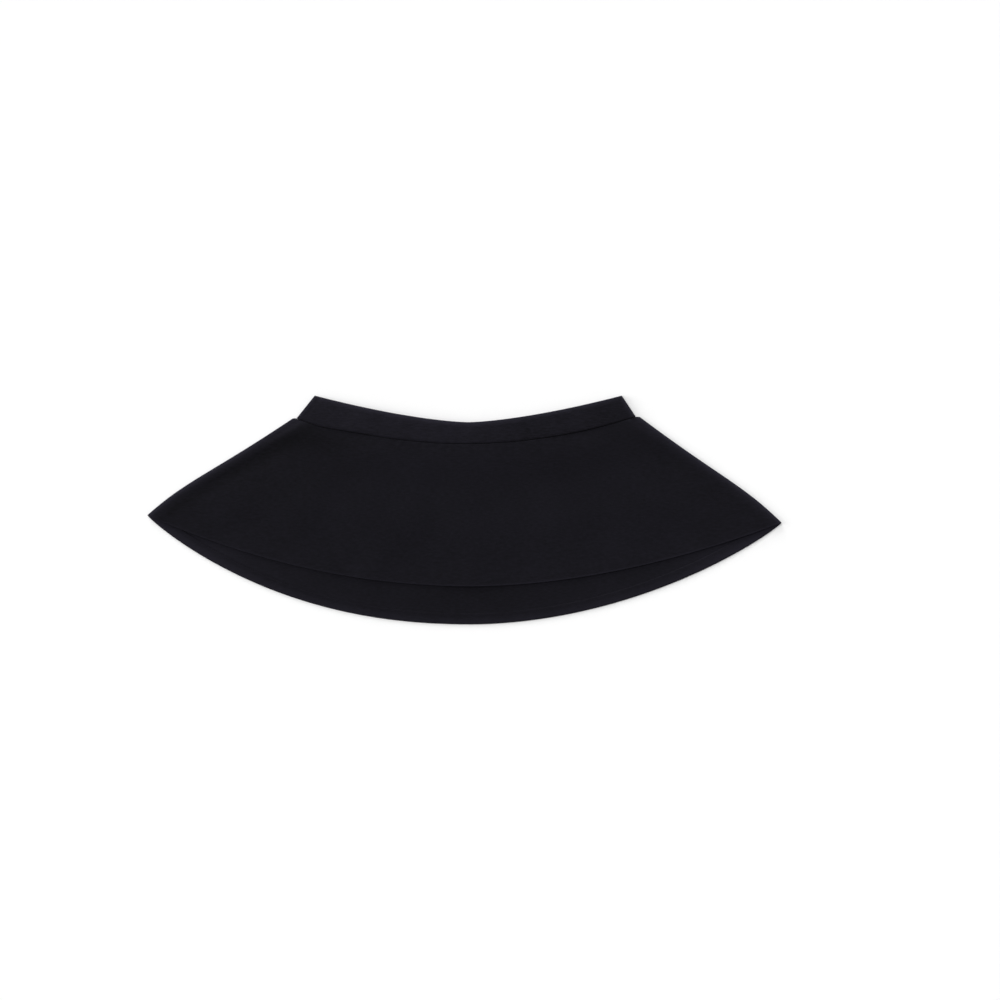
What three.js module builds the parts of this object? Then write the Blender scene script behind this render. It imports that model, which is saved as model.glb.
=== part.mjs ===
// A short flared pull-on skirt, lying flat and relaxed with its front up.
// Millimetres. X runs across the skirt, Y from hem to waist, Z up from the surface that it lies on.
// It is cut and sewn as the real garment is: a shorter front panel, a longer back panel, a contoured
// waistband of outer and facing with an elastic in its top edge, overlocked seams, turned hems and a label.
import * as THREE from "three";

// ---- Thicknesses, and the clearance between pieces ----
const FABRIC = 0.7; // double-knit jersey
const ELASTIC = 0.8;
const SIDE_SEAM_BULK = 1.6; // two seam allowances and the thread round them
const WAIST_SEAM_BULK = 1.8; // three of them, pressed down inside the waist seam
const THREADS = 0.3; // threads that lie on a face
const GAP = 0.3;

// ---- Widths and lengths, as the skirt lies ----
const WAIST_WIDTH = 368; // along the top edge, half of the relaxed waist
const WAIST_RISE = 32; // the top edge's ends above its middle
const BAND_MIDDLE = 26; // height of the waistband at centre front
const BAND_SIDE = 25.5; // how far the band's lower corners lie below its upper ones
const SEAM_WIDTH = 407; // along the seam between band and panels
const SHOULDER = 7; // how far a panel stands out past the band's lower corner
const HEM_WIDTH = 761; // from tip to tip
const TIP_DROP = 148; // the tips below the top edge's ends
const TIP_SKEW = 9; // the right tip lies this much lower than the left
const WAIST_SHIFT = 4.5; // the waist lies this much to the right of the hem
const FRONT_LENGTH = 197; // centre front, top edge to hem
const BACK_LENGTH = 242.5; // centre back
const SIDE_SWELL = 4; // how far the side edges swell outwards

// ---- Heights, as it lies ----
const INSIDE = 4.5; // free height between front and back at the waist
const SIDE_LOOSENESS = 0.6; // free height round the side seams' bulk, at the tips
const MIDDLE_HEIGHT = 7.2; // top of the front panel over the middle of the skirt
const SETTLED_AT = 0.45; // share of the panel's length where the front has come down to that height

// ---- Seams, hems and trims ----
const SEAM_ALLOWANCE = 7;
const HEM_ALLOWANCE = 13;
const HEM_OVERLOCK = 5; // width of the thread round the turned allowance's cut edge
const HEM_OVERLOCK_EDGE = 1; // from that thread to where the allowance ends
const ELASTIC_WIDTH = 8;
const ELASTIC_DOWN = 3; // from the top edge
const FACING_INSET = 3.3; // between the side folds of outer and facing
const LABEL_ALONG = 25;
const LABEL_INWARD = 38;
const LABEL_THICKNESS = 0.5;
const LABEL_PLACE = 0.3; // share of the side seam's length

// How round each line is: the power of the distance from its middle, and for a hem of its rise at the tips.
const WAIST_ROUND = 1.5;
const SEAM_ROUND = 2;
const FRONT_HEM_ROUND = { left: 1.95, right: 1.85, tip: 1 };
const BACK_HEM_ROUND = { left: 2.2, right: 1.9, tip: 0.9 };
const SIDE_ROUND = 2.3;

// ---- Worked out from those ----
const ELASTIC_ROOM = GAP + ELASTIC + GAP;
const BAND_WALL = FABRIC + ELASTIC_ROOM + FABRIC;
const WAIST_RADIUS = (INSIDE + 2 * BAND_WALL) / 2; // of the band's side fold
const TIP_RADIUS = FABRIC + GAP + (SIDE_SEAM_BULK + SIDE_LOOSENESS) / 2;
const HEM_THICKNESS = 2 * FABRIC;
const EDGE_ROLL = FABRIC / 3; // rounding of a cut or folded edge
const SEAM_HALF = SEAM_WIDTH / 2;
const SHOULDER_HALF = SEAM_HALF + SHOULDER;
const SEAM_END_LEVEL = WAIST_RISE - BAND_SIDE;
const TIP_LEVEL = WAIST_RISE - TIP_DROP;
const BAND_DEPTH = (BAND_MIDDLE + BAND_SIDE) / 2;
const ELASTIC_END = (ELASTIC_DOWN + ELASTIC_WIDTH + GAP) / BAND_DEPTH; // share of the band's depth
const FACING_SETTLED = ELASTIC_END + 0.18;

const { clamp, euclideanModulo, lerp, smoothstep } = THREE.MathUtils;

// ---- Cross lines. s runs from -1 at the left side to 1 at the right; y is 0 at centre front's top edge ----
function waistLine(s) {
  return new THREE.Vector2(WAIST_SHIFT + (s * WAIST_WIDTH) / 2, WAIST_RISE * Math.abs(s) ** WAIST_ROUND);
}

function seamLine(s, half, below) {
  const share = Math.min(1, Math.abs(s * half) / SEAM_HALF);
  const level = lerp(-BAND_MIDDLE, SEAM_END_LEVEL, share ** SEAM_ROUND);
  return new THREE.Vector2(WAIST_SHIFT + s * half, level - below);
}

function hemLine(s, length, round) {
  const power = s < 0 ? round.left : round.right;
  const sag = (length + TIP_LEVEL) * (1 - Math.abs(s) ** power) ** round.tip;
  return new THREE.Vector2((s * HEM_WIDTH) / 2, TIP_LEVEL - (s * TIP_SKEW) / 2 - sag);
}

// ---- One half of a flattened tube ----
// u runs 0 to 1 from the left seam to the right one, and v 0 to 1 down the piece. row(s, v) is the plan
// position, radius(v) the side fold's, crown(v) how much higher the middle is, and side 1 for the front half.
const FOLD_SHARE = 0.1; // of u, for each side fold
const NUDGE = 0.01; // a small step along or across a piece, to take its direction

// How far across the flat part a value of u lies.
function across(u) {
  return clamp((u - 0.5) / (0.5 - FOLD_SHARE), -1, 1);
}

function halfTube({ side, row, radius, crown, middle }) {
  return (u, v) => {
    const s = across(u);
    const hand = s < 0 ? -1 : 1;
    const slant = row(hand, v + NUDGE).sub(row(hand, v)).normalize();
    const inward = row(hand * (1 - NUDGE), v).sub(row(hand, v));
    const fold = (NUDGE * radius(v)) / Math.abs(slant.cross(inward)); // the fold's width, in s
    const turn = (Math.min(u, 1 - u, FOLD_SHARE) / FOLD_SHARE) * (Math.PI / 2);
    const at = row(s - s * fold * (1 - Math.cos(turn)), v);
    const lift = GAP / 2 + (radius(v) - GAP / 2) * Math.sin(turn) + crown(v) * (1 - s ** 4);
    return new THREE.Vector3(at.x, at.y, middle(v) + side * lift);
  };
}

// The outward normal of such a surface.
function normalOf(surface, side, u, v) {
  const step = NUDGE * NUDGE;
  const along = surface(Math.min(1, u + step), v).sub(surface(Math.max(0, u - step), v));
  const down = surface(u, v + step).sub(surface(u, v - step));
  return down.cross(along).multiplyScalar(side).normalize();
}

// ---- Closed solids: a box or a ring of many facets, each vertex moved to its place ----
function moved(geometry, place) {
  const at = geometry.attributes.position;
  for (let i = 0; i < at.count; i++) {
    const to = place(at.getX(i), at.getY(i), at.getZ(i));
    at.setXYZ(i, to.x, to.y, to.z);
  }
  geometry.computeVertexNormals();
  return geometry;
}

// place(column, row, isUpper), with columns from left to right and rows from top to hem.
function slab(columns, rows, place) {
  const box = new THREE.BoxGeometry(columns - 1, rows - 1, 1, columns - 1, rows - 1, 1);
  return moved(box, (x, y, z) => {
    const column = Math.round(x + (columns - 1) / 2);
    const row = Math.round((rows - 1) / 2 - y);
    return place(column, row, z > 0);
  });
}

// A piece on a surface. Each row says where it runs down the surface, v(s), and how far out its faces lie.
function layer(surface, side, columns, rows) {
  return slab(columns.length, rows.length, (i, j, isUpper) => {
    const u = columns[i];
    const v = rows[j].v(across(u));
    const out = isUpper === side > 0 ? rows[j].outer : rows[j].inner;
    return surface(u, v).addScaledVector(normalOf(surface, side, u, v), out);
  });
}

// A closed loop through a front and a back surface, between two values of v.
function loop(front, back, columns, [above, below], outer, inner) {
  const steps = 2 * columns.length;
  const start = 10; // the ring's radius before it is moved, more than any thickness
  const section = [[inner, above], [inner, below], [outer, below], [outer, above], [inner, above]];
  const points = section.map(([out, v]) => new THREE.Vector2(start + out, -v));
  const ring = new THREE.LatheGeometry(points, steps);
  return moved(ring, (x, y, z) => {
    const share = euclideanModulo(Math.atan2(x, z) / (2 * Math.PI), 1);
    const place = Math.round(share * steps) % steps;
    const isFront = place < columns.length;
    const u = columns[isFront ? place : steps - 1 - place];
    const surface = isFront ? front : back;
    const out = Math.hypot(x, z) - start;
    return surface(u, -y).addScaledVector(normalOf(surface, isFront ? 1 : -1, u, -y), out);
  });
}

// Values of u: close together round the side folds, even across the rest.
function columnsAcross(foldSteps, flatSteps) {
  const fold = Array.from({ length: foldSteps }, (_, i) => (FOLD_SHARE * i) / foldSteps);
  return [...fold, ...columnsBetween(FOLD_SHARE, flatSteps), ...fold.map((u) => 1 - u).reverse()];
}

function columnsBetween(margin, steps) {
  return Array.from({ length: steps + 1 }, (_, i) => lerp(margin, 1 - margin, i / steps));
}

const PANEL_COLUMNS = columnsAcross(4, 36);
const BAND_COLUMNS = columnsAcross(4, 24);
const THREAD_COLUMNS = columnsBetween(1.2 * FOLD_SHARE, 44); // a little short of the side folds

// ---- The two panels ----
const PANEL_SHARES = [0.08, 0.16, 0.26, 0.38, 0.52, 0.66, 0.8]; // closer where it settles from the waist
const SWELL_RIGHT = 0.6; // direction of the side edges' swell, square to their slant
const SWELL_UP = 0.8;
const panelRadius = (v) => lerp(TIP_RADIUS, WAIST_RADIUS, (1 - clamp(v, 0, 1)) ** 1.5);
const panelTop = (v) => lerp(2 * WAIST_RADIUS, MIDDLE_HEIGHT, smoothstep(v, 0, SETTLED_AT));

function panelRow(length, round) {
  return (s, v) => {
    const swell = SIDE_SWELL * Math.sin(Math.PI * clamp(v, 0, 1) ** SIDE_ROUND) * Math.abs(s) ** 3;
    const at = seamLine(s, SHOULDER_HALF, GAP).lerp(hemLine(s, length, round), v);
    return at.add(new THREE.Vector2(SWELL_RIGHT * Math.sign(s) * swell, SWELL_UP * swell));
  };
}

function panel(side, length, round) {
  const row = panelRow(length, round);
  const surface = halfTube({
    side,
    row,
    radius: panelRadius,
    crown: (v) => (side > 0 ? Math.max(0, panelTop(v) - 2 * panelRadius(v)) : 0),
    middle: panelRadius,
  });
  const lengthAt = (s) => row(s, 1).distanceTo(row(s, 0));
  return {
    side,
    surface,
    belowSeam: (distance) => (s) => distance / lengthAt(s),
    aboveHem: (distance) => (s) => 1 - distance / lengthAt(s),
  };
}

const frontPanel = panel(1, FRONT_LENGTH, FRONT_HEM_ROUND);
const backPanel = panel(-1, BACK_LENGTH, BACK_HEM_ROUND);

// One thickness of jersey, and two where the hem is turned up inside.
function panelGeometry({ side, surface, belowSeam, aboveHem }) {
  const single = { outer: 0, inner: -FABRIC };
  const double = { outer: 0, inner: -HEM_THICKNESS };
  const rows = [
    { v: belowSeam(0), outer: -EDGE_ROLL, inner: -FABRIC },
    { v: belowSeam(1), ...single },
    ...PANEL_SHARES.map((share) => ({ v: () => share, ...single })),
    { v: aboveHem(HEM_ALLOWANCE + 0.5), ...single },
    { v: aboveHem(HEM_ALLOWANCE), ...double },
    { v: aboveHem(1), ...double },
    { v: aboveHem(0), outer: -EDGE_ROLL, inner: EDGE_ROLL - HEM_THICKNESS },
  ];
  return layer(surface, side, PANEL_COLUMNS, rows);
}

// The overlock thread along the turned allowance's cut edge, and the blindstitch that holds it up.
function hemThreadGeometry({ side, surface, aboveHem }) {
  const outer = -(HEM_THICKNESS + GAP);
  const above = HEM_ALLOWANCE - HEM_OVERLOCK_EDGE;
  const rows = [above, above - HEM_OVERLOCK].map((distance) => {
    return { v: aboveHem(distance), outer, inner: outer - THREADS };
  });
  return layer(surface, side, THREAD_COLUMNS, rows);
}

// The three waist-seam allowances, overlocked together and lying inside the panels' tops.
function waistSeamGeometry() {
  const ends = [GAP, SEAM_ALLOWANCE].map((distance) => frontPanel.belowSeam(distance)(1));
  const outer = -(FABRIC + GAP);
  return loop(frontPanel.surface, backPanel.surface, PANEL_COLUMNS, ends, outer, outer - WAIST_SEAM_BULK);
}

// ---- The waistband ----
// inset moves the side folds inwards, measured square to the slanting side edge.
const BAND_SLANT = BAND_SIDE / Math.hypot(BAND_SIDE, (SEAM_WIDTH - WAIST_WIDTH) / 2);

function bandRow(inset) {
  const shift = inset / BAND_SLANT;
  return (s, v) => waistLine(s).lerp(seamLine(s, SEAM_HALF, 0), v).sub(new THREE.Vector2(s * shift, 0));
}

const bandMiddle = () => WAIST_RADIUS;

function bandSurface(side, wall, inset) {
  const radius = (v) => WAIST_RADIUS - wall(v);
  return halfTube({ side, row: bandRow(inset), radius, crown: () => 0, middle: bandMiddle });
}

// The outer turns over the top edge and covers the elastic.
function bandOuterGeometry(side) {
  const lip = -(FABRIC + GAP + ELASTIC);
  const down = (distance) => () => distance / BAND_DEPTH;
  const rows = [
    { v: down(0), outer: -EDGE_ROLL, inner: lip },
    { v: down(1), outer: 0, inner: lip },
    { v: down(1.5), outer: 0, inner: -FABRIC },
    { v: () => 0.5, outer: 0, inner: -FABRIC },
    { v: () => 0.96, outer: 0, inner: -FABRIC },
    { v: () => 1, outer: -EDGE_ROLL, inner: -FABRIC },
  ];
  return layer(bandSurface(side, () => 0, 0), side, BAND_COLUMNS, rows);
}

// The facing stands off round the elastic, and lies against the outer below it.
function facingGeometry(side) {
  const settling = (v) => smoothstep(v, ELASTIC_END, FACING_SETTLED);
  const wall = (v) => FABRIC + lerp(ELASTIC_ROOM, GAP, settling(v));
  const shares = [0.01, ELASTIC_END, (ELASTIC_END + FACING_SETTLED) / 2, FACING_SETTLED, 0.98];
  const rows = shares.map((share) => ({ v: () => share, outer: 0, inner: -FABRIC }));
  return layer(bandSurface(side, wall, FABRIC + FACING_INSET), side, BAND_COLUMNS, rows);
}

function elasticGeometry() {
  const [front, back] = [1, -1].map((side) => bandSurface(side, () => FABRIC + GAP, FABRIC + GAP));
  const ends = [ELASTIC_DOWN, ELASTIC_DOWN + ELASTIC_WIDTH].map((distance) => distance / BAND_DEPTH);
  return loop(front, back, BAND_COLUMNS, ends, 0, -ELASTIC);
}

// ---- Bars and tabs that run down a side seam, at its level ----
function sideStrip({ hand, row, level, from, to, off, width, thickness, steps }) {
  return slab(2, steps + 1, (i, j, isUpper) => {
    const v = lerp(from, to, j / steps);
    const slant = row(hand, v + NUDGE).sub(row(hand, v)).normalize();
    const inward = new THREE.Vector2(hand * slant.y, -hand * slant.x);
    const isInner = (i === 0) === hand > 0;
    const at = row(hand, v).addScaledVector(inward, off + (isInner ? width : 0));
    return new THREE.Vector3(at.x, at.y, level(v) + (isUpper ? 0.5 : -0.5) * thickness);
  });
}

const sideRow = panelRow(FRONT_LENGTH, FRONT_HEM_ROUND);
const SIDE_LENGTH = sideRow(1, 1).distanceTo(sideRow(1, 0));
const SIDE_STRIP_END = HEM_ALLOWANCE + TIP_RADIUS + SEAM_ALLOWANCE; // from the tip, clear of the hem

function sideSeamGeometry(hand) {
  return sideStrip({
    hand,
    row: sideRow,
    level: panelRadius,
    from: (SEAM_ALLOWANCE + 2) / SIDE_LENGTH,
    to: 1 - SIDE_STRIP_END / SIDE_LENGTH,
    off: TIP_RADIUS,
    width: SEAM_ALLOWANCE,
    thickness: SIDE_SEAM_BULK,
    steps: 14,
  });
}

// The same seam goes on between the band's outer and its facing.
function bandSeamGeometry(hand) {
  return sideStrip({
    hand,
    row: bandRow(0),
    level: bandMiddle,
    from: ELASTIC_END + 0.04,
    to: 0.94,
    off: FABRIC + GAP,
    width: FACING_INSET - 3 * GAP,
    thickness: SIDE_SEAM_BULK,
    steps: 3,
  });
}

// A folded satin label, caught in the right side seam and lying in towards the middle.
function labelGeometry() {
  const half = LABEL_ALONG / 2 / SIDE_LENGTH;
  return sideStrip({
    hand: 1,
    row: sideRow,
    level: panelRadius,
    from: LABEL_PLACE - half,
    to: LABEL_PLACE + half,
    off: TIP_RADIUS + SEAM_ALLOWANCE + GAP,
    width: LABEL_INWARD,
    thickness: LABEL_THICKNESS,
    steps: 3,
  });
}

// ---- The assembly ----
function finish(color, roughness) {
  return new THREE.MeshStandardMaterial({ color, roughness, metalness: 0 });
}

function piece(name, geometry, material) {
  const mesh = new THREE.Mesh(geometry, material);
  mesh.name = name;
  return mesh;
}

const jersey = () => finish(0x1a191e, 0.92);
const smoothJersey = () => finish(0x1d1c21, 0.88);
const thread = () => finish(0x141316, 0.75);

const panels = new THREE.Group();
const waistband = new THREE.Group();
const seams = new THREE.Group();
for (const [name, side, cut] of [["front", 1, frontPanel], ["back", -1, backPanel]]) {
  panels.add(piece(`${name}_panel`, panelGeometry(cut), jersey()));
  waistband.add(piece(`waistband_${name}`, bandOuterGeometry(side), smoothJersey()));
  waistband.add(piece(`waistband_facing_${name}`, facingGeometry(side), smoothJersey()));
  seams.add(piece(`${name}_hem_overlock`, hemThreadGeometry(cut), thread()));
}
waistband.add(piece("waist_elastic", elasticGeometry(), finish(0x202024, 0.8)));
for (const [name, hand] of [["left", -1], ["right", 1]]) {
  seams.add(piece(`${name}_side_seam_overlock`, sideSeamGeometry(hand), thread()));
  seams.add(piece(`${name}_band_seam`, bandSeamGeometry(hand), thread()));
}
seams.add(piece("waist_seam_overlock", waistSeamGeometry(), thread()));

const skirt = new THREE.Group();
skirt.add(panels, waistband, seams, piece("care_label", labelGeometry(), finish(0xd8d6d0, 0.45)));

// The origin is at the middle of the skirt's outline, on the surface that it lies on.
const box = new THREE.Box3().setFromObject(skirt);
const centre = box.getCenter(new THREE.Vector3());
skirt.position.set(-centre.x, -centre.y, -box.min.z);

export default skirt;
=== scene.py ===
"""A short flared pull-on skirt of black double-knit jersey, laid flat and relaxed, front up.

Metres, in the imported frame: X across the skirt, Y from hem to waist, Z up from the surface that
it lies on. Every fabric piece is a middle surface given its thickness, with its real turnings:
side-seam allowances that double back inside, hems turned up inside, and a waistband whose outer
rolls over the elastic to its facing.
"""
import math

import bpy
import numpy as np
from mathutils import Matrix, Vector


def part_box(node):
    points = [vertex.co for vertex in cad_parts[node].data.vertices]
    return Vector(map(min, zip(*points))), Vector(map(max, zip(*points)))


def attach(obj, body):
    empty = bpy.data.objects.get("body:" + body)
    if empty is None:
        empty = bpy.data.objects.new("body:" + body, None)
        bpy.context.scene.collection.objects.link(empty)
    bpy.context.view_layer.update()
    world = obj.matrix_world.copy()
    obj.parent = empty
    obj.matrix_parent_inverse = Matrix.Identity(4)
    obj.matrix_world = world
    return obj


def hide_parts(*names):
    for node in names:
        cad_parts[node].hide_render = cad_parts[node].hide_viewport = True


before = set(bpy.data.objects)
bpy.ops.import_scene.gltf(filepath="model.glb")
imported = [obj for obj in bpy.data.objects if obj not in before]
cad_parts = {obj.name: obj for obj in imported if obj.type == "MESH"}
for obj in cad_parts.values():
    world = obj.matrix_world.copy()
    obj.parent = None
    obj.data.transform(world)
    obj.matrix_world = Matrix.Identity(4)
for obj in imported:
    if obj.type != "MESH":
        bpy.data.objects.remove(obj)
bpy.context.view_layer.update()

MM = 0.001
BODY = "root"

# ---- Camera: straight above ----
LENS = 85
SENSOR = 36
VIEW_WIDTH = 1200 * MM
VIEW_CENTRE = (42.6 * MM, 12 * MM)


def add_camera():
    data = bpy.data.cameras.new("camera")
    data.lens = LENS
    data.sensor_width = SENSOR
    camera = bpy.data.objects.new("camera", data)
    camera.location = (*VIEW_CENTRE, VIEW_WIDTH * LENS / SENSOR)
    bpy.context.collection.objects.link(camera)
    bpy.context.scene.camera = camera


add_camera()

# ---- Cloth and its turnings ----
JERSEY = 0.7 * MM
TURN = 1.1 * MM  # between the middles of two layers at a side seam
HEM_TURN = 0.9 * MM  # the same at a pressed hem
BAND_TURN = 1.8 * MM  # the same round the elastic
SEAM_GAP = 0.38 * MM  # from a side seam's level to the middle of the layer beside it
SIDE_ALLOWANCE = 7 * MM
BAND_ALLOWANCE = 4.4 * MM
TRIMMED = 1.5 * MM  # what an allowance is cut back to where other layers cross it
HEM_ALLOWANCE = 13 * MM
SEAM_CLEARANCE = 0.06 * MM  # between a rolled-in edge and the seam line
PANEL_ROLL = (0.8 * MM, 1.1 * MM)  # radius of a panel's edge in the waist seam, and its depth
BAND_ROLL = (1.0 * MM, 1.8 * MM)  # the same for a band outer
LIP = 4 * MM  # how far the band's outer comes down inside its top edge
BACK_LEVEL = JERSEY / 2  # the back lies on the surface
PANEL_EDGE = BACK_LEVEL + 2 * TURN + 2 * SEAM_GAP  # level of the front over its side seams
BAND_EDGE = BACK_LEVEL + 2 * BAND_TURN + 2 * SEAM_GAP

ELASTIC = 0.8 * MM
ELASTIC_THINNEST = 0.7  # between two cords, as a share
ELASTIC_WIDTH = 8 * MM
ELASTIC_DOWN = 3.1 * MM  # from the band's top edge
ELASTIC_CORDS = 7
ELASTIC_ROWS = ELASTIC_CORDS * 4 + 1
ELASTIC_COLUMNS = 220
ELASTIC_TURN_AT = 4.8 * MM  # from the band's side edge
FACING_DOWN = 4.6 * MM  # from the band's top edge, just below the lip
FACING_INSET = 5.4 * MM  # from the band's side edge
FACING_UP = 1.6 * MM  # from the waist seam
FACING_CLOSE = 1.0 * MM  # between the middles of outer and facing below the elastic
FACING_CLOSES = (0.38, 0.62)  # where it comes in to that, as shares of its depth

PLY = 0.50 * MM  # one layer of the waist seam, pressed
PLIES = 3
PLY_STEP = 0.52 * MM
PLY_ROWS = 7
WAIST_ALLOWANCE = 7 * MM
PLY_START = 1.2 * MM  # below the waist seam
WAIST_COLUMNS = 240
WAIST_STACK = 1.4 * MM  # from the panel's middle to the middle of the plies
WAIST_TURN_AT = 9 * MM  # from the side edge, where the plies turn from front to back
WAIST_EDGE = 5.25 * MM  # level of the front over that turn
STITCHES_DOWN = 0.9 * MM  # from a panel's middle to the stitches that close the seam
STITCHES_TO = 0.992  # where they end, as a share of half the seam

LABEL_ALONG = 25 * MM
LABEL_INWARD = 38 * MM
LABEL_START = 6.4 * MM  # from the side edge
LABEL_PLACE = 0.3  # share of the side seam's length
LABEL_FOLD = 0.25 * MM
LABEL_LIES_FROM = 11 * MM  # from its seam end, where it has come down on to the back
LABEL_PARTS = (-5 * MM, 14 * MM)  # where its two layers part
LABEL_WAVE, LABEL_WAVES = 0.25 * MM, (8 * MM, 20 * MM)  # height of its wave, and where it grows
LABEL_RIPPLE = 9 * MM  # along it for each radian of that wave
LABEL_CURL, LABEL_CURLS = 0.15 * MM, (5 * MM, 20 * MM)  # height of its curl, and where it grows
LABEL_ROWS, LABEL_COLUMNS, LABEL_FOLD_STEPS = 30, 15, 9
RIBBON = 0.14 * MM

THREAD = 0.08 * MM  # radius
THREAD_CLEARANCE = 1.6 * THREAD  # from the cloth's face to the middle of a thread that laps it
STITCH = 2.5 * MM
OVERLOCK_WIDTH = 5 * MM
BAND_OVERLOCK_WIDTH = 2.6 * MM
HEM_THREAD_CLEAR = 12  # columns between a side fold and the end of a hem's thread
BAND_SEAM_FROM = 0.5  # shares of the band's side edge
BAND_SEAM_TO = 0.88
BAND_SEAM_ROWS = 20

# ---- Outline, from the frame and the cut ----
band_low, band_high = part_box("waistband_front")
front_low, front_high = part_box("front_panel")
back_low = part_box("back_panel")[0]
TOP_RISE = 32 * MM
TOP_CORNERS = 184 * MM
SHOULDER = 4.5 * MM
SEAM_SKEW = 2.4 * MM  # how far left of the top edge the waist seam lies
SEAM_DIP = 3.2 * MM  # how much lower the waist seam runs near its left end
SEAM_DIP_AT = (-0.88, 0.16)  # its centre and width, as shares of half the seam
SEAM_END_GAP = 0.3 * MM  # between the ends of the seam line and the panels' highest points
TIP_DROP = 148 * MM
TIP_SKEW = 9 * MM
SIDE_SWELL = 4 * MM
SWELL_ACROSS = 0.6  # direction of that swell, square to the side edges' slant
SWELL_UP = 0.8
WAIST_ROUND = 1.5
SIDE_ROUND = 2.3
FRONT_ROUND = (2.04, 1.85, 1.0)  # left, right and at the tips
BACK_ROUND = (2.2, 1.9, 0.9)
STEP = 0.01  # small steps along and across a cut, to take a direction or a scale
FINE_STEP = 0.001

waist_x = (band_low.x + band_high.x) / 2
seam_half = (band_high.x - band_low.x) / 2
hem_half = front_high.x
top_middle = band_high.y - TOP_RISE
seam_middle = band_low.y
seam_ends = front_high.y + SEAM_END_GAP
tip_level = band_high.y - TIP_DROP


def mix(a, b, share):
    return a + (b - a) * share


def ease(x, low, high):
    share = np.clip((x - low) / (high - low), 0, 1)
    return share * share * (3 - 2 * share)


def bump(x, centre, width):
    return np.exp(-(((x - centre) / width) ** 2))


def bumps(x, table):
    """A sum of bumps, each with its centre, width and height."""
    return sum(height * bump(x, centre, width) for centre, width, height in table)


def waves(x, table):
    """A sum of waves, each with its rate, phase and height."""
    return sum(height * np.sin(rate * x + phase) for rate, phase, height in table)


def through(x, places, levels):
    """A smooth curve through levels at places, which never overshoots them."""
    places, levels = np.asarray(places, float), np.asarray(levels, float)
    steps = np.diff(places)
    slopes = np.diff(levels) / steps
    tangents = np.zeros(len(places))
    for i in range(1, len(places) - 1):
        if slopes[i - 1] * slopes[i] > 0:
            tangents[i] = 2 * slopes[i - 1] * slopes[i] / (slopes[i - 1] + slopes[i])
    i = np.clip(np.searchsorted(places, x) - 1, 0, len(steps) - 1)
    t = np.clip((x - places[i]) / steps[i], 0, 1)
    rise = levels[i] * (1 + 2 * t) * (1 - t) ** 2 + levels[i + 1] * t * t * (3 - 2 * t)
    bend = tangents[i] * t * (1 - t) ** 2 - tangents[i + 1] * t * t * (1 - t)
    return rise + steps[i] * bend


def waist_line(s):
    return waist_x + s * TOP_CORNERS, top_middle + TOP_RISE * np.abs(s) ** WAIST_ROUND


def seam_line(s, half):
    share = np.clip(s * half / seam_half, -1, 1)
    dip = SEAM_DIP * bump(share, *SEAM_DIP_AT)
    return waist_x - SEAM_SKEW + s * half, mix(seam_middle, seam_ends, share**2) - dip


def hem_line(s, low, roundness):
    left, right, tip = roundness
    power = np.where(s < 0, left, right)
    sag = (tip_level - low) * (1 - np.clip(np.abs(s), 0, 1) ** power) ** tip
    return s * hem_half, tip_level - s * TIP_SKEW / 2 - sag


class Cut:
    """The plan of one piece between an upper and a lower line.

    s goes from -1 to 1 across it, and v from 0 to 1 down it.
    """

    def __init__(self, upper, lower, swell=0.0):
        self.upper = upper
        self.lower = lower
        self.swell = swell

    def at(self, s, v):
        upper, lower = self.upper(s), self.lower(s)
        out = self.swell * np.sin(np.pi * np.clip(v, 0, 1) ** SIDE_ROUND) * np.abs(s) ** 3
        x = mix(upper[0], lower[0], v) + SWELL_ACROSS * np.sign(s) * out
        y = mix(upper[1], lower[1], v) + SWELL_UP * out
        return np.stack(np.broadcast_arrays(x, y), -1)

    def side_scale(self, hand, v):
        """Metres square to a side edge for each unit of s."""
        across = (self.at(hand, v) - self.at(hand * (1 - STEP), v)) / STEP
        return square_part(across, self.at(hand, v + FINE_STEP) - self.at(hand, v - FINE_STEP))

    def end_scale(self, s, v):
        """Metres square to the upper or lower line for each unit of v."""
        s = np.clip(s, -1 + 2 * FINE_STEP, 1 - 2 * FINE_STEP)
        down = (self.at(s, v + STEP) - self.at(s, v - STEP)) / (2 * STEP)
        return square_part(down, self.at(s + FINE_STEP, v) - self.at(s - FINE_STEP, v))

    def sides(self, v, reach, count):
        """s for the columns of rows v: at distances reach from each side edge, then even steps.

        count is how many columns lie between the two sides' own.
        """
        left = -1 + reach / self.side_scale(-1.0, v[:, :1])
        right = 1 - reach / self.side_scale(1.0, v[:, -1:])
        middle = mix(left[:, -1:], right[:, -1:], np.linspace(0, 1, count + 2)[1:-1])
        return np.concatenate([left, middle, right[:, ::-1]], 1)

    def distances(self, s, v):
        """How far a point is from the side edge, the upper line and the lower line."""
        scale = np.where(s < 0, self.side_scale(-1.0, v), self.side_scale(1.0, v))
        upper, lower = v * self.end_scale(s, 0.0), (1 - v) * self.end_scale(s, 1.0)
        return (1 - np.abs(s)) * scale, upper, lower

    def area(self, side=0.0, end=0.0):
        """Flat area with the allowances past its side edges and its two lines together."""
        s, v = np.linspace(-1, 1, 400), np.linspace(0, 1, 100)
        top, bottom = self.at(s, 0.0), self.at(s, 1.0)
        right, left = self.at(1.0, v), self.at(-1.0, v)
        x, y = np.concatenate([top, right, bottom[::-1], left[::-1]]).T
        inside = abs(np.sum(x * np.roll(y, -1) - y * np.roll(x, -1))) / 2
        return inside + side * 2 * length_of(right) + end * length_of(bottom)


def square_part(vector, direction):
    cross = vector[..., 0] * direction[..., 1] - vector[..., 1] * direction[..., 0]
    return np.abs(cross) / np.linalg.norm(direction, axis=-1)


def length_of(line):
    return np.linalg.norm(np.diff(line, axis=0), axis=1).sum()


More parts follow.
